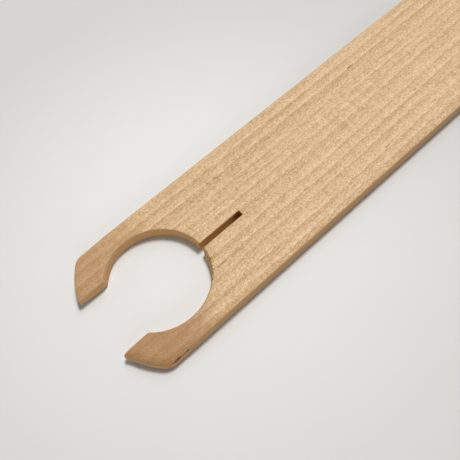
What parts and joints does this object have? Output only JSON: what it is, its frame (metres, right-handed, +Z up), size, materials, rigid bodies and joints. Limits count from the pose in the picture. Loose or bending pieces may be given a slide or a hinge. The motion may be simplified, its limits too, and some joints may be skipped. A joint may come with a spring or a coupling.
{
  "type": "stick shuttle",
  "caption": "Flat wooden stick shuttle for weaving: a long thin board with an open round notch and a yarn-pinching slit at each end.",
  "frame": {"origin": "under the middle of the board, on the surface that it lies on", "axes": "+X along the board towards one pair of horns, +Y across its width, +Z up through its thickness"},
  "size_m": [0.3, 0.045, 0.004],
  "materials": {
    "pale_hardwood": "fine-sanded pale hardwood with a thin satin oil finish"
  },
  "bodies": {
    "root": {"shuttle_board": "pale_hardwood"}
  },
  "joints": []
}
